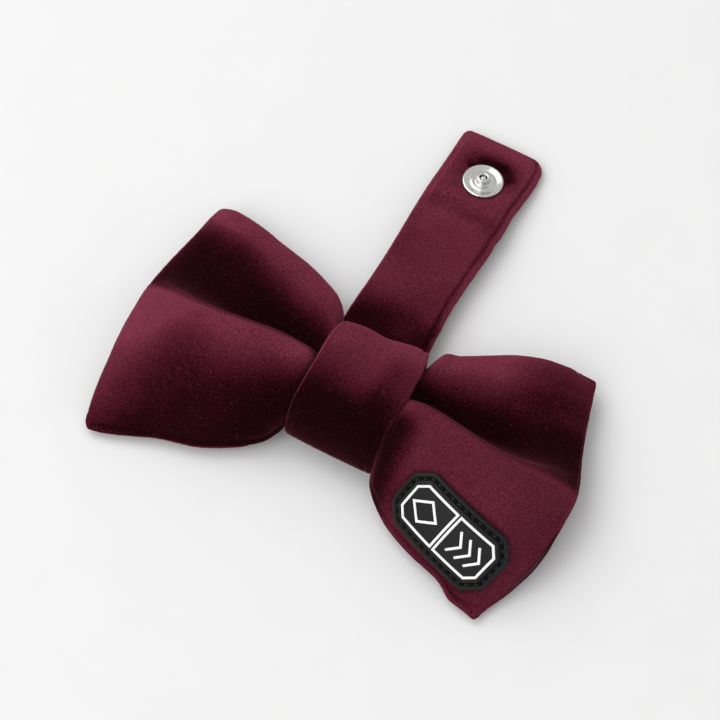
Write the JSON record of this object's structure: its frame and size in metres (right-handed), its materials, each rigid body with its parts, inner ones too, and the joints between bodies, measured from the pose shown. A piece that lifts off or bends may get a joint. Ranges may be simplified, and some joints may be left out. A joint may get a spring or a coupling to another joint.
{
  "type": "bow tie",
  "caption": "Stuffed velvet bow with a pinched centre band and a short snap strap that wraps round a pet collar.",
  "frame": {"origin": "centre of the whole part's box in plan, at the surface it lies on", "axes": "+X along the bow from wing to wing, +Y along the snap strap from knot to tip, +Z out of the bow's face"},
  "size_m": [0.1288, 0.1298, 0.0218],
  "materials": {
    "velvet": "deep burgundy short-pile velvet",
    "thread_red": "matt polyester sewing thread",
    "wadding": "loose polyester wadding",
    "interlining": "stiff woven interlining",
    "steel": "bright nickel-plated press stud",
    "rubber_black": "satin moulded soft rubber",
    "rubber_white": "satin moulded soft rubber",
    "thread_black": "twisted polyester thread"
  },
  "bodies": {
    "bow": {"bow_front_panel": "velvet", "bow_back_panel": "velvet", "bow_wadding": "wadding", "bow_seam_thread": "thread_red", "waist_gathering_thread": "thread_red", "knot_band": "velvet", "knot_interlining": "interlining", "knot_closing_stitches": "thread_red", "snap_socket": "steel", "socket_spring": "steel", "socket_post": "steel", "badge_base": "rubber_black", "badge_stitching": "thread_black", "badge_motif_frame": "rubber_white", "badge_motif_diamond": "rubber_white", "badge_motif_chevrons": "rubber_white"},
    "strap_1": {"strap_sleeve_1": "velvet", "strap_interlining_1": "interlining"},
    "strap_2": {"strap_sleeve_2": "velvet", "strap_interlining_2": "interlining"},
    "strap_3": {"strap_sleeve_3": "velvet", "strap_interlining_3": "interlining"},
    "strap_4": {"strap_sleeve_4": "velvet", "strap_interlining_4": "interlining", "snap_stud": "steel", "stud_post": "steel"}
  },
  "joints": [
    {"name": "strap_wrap", "type": "hinge", "parent": "bow", "child": "strap_1", "pos_m": [-0.0027, -0.0088, 0.0039], "axis": [1, 0, 0], "range_deg": [-96, 45]},
    {"name": "strap_wrap_far", "type": "hinge", "parent": "strap_1", "child": "strap_2", "pos_m": [-0.0027, 0.00433, 0.00527], "axis": [1, 0, 0], "range_deg": [-83.6, 39.3]},
    {"name": "strap_end_fold", "type": "hinge", "parent": "strap_2", "child": "strap_3", "pos_m": [-0.0027, 0.03258, 0.00503], "axis": [1, 0, 0], "range_deg": [-84.5, 40]},
    {"name": "strap_end_fold_far", "type": "hinge", "parent": "strap_3", "child": "strap_4", "pos_m": [-0.0027, 0.03929, 0.00432], "axis": [1, 0, 0], "range_deg": [-89.1, 42.3]}
  ],
  "couplings": [
    {"joint": "strap_wrap_far", "follows": "strap_wrap", "ratio": 0.86979},
    {"joint": "strap_end_fold_far", "follows": "strap_end_fold", "ratio": 1.0533}
  ]
}
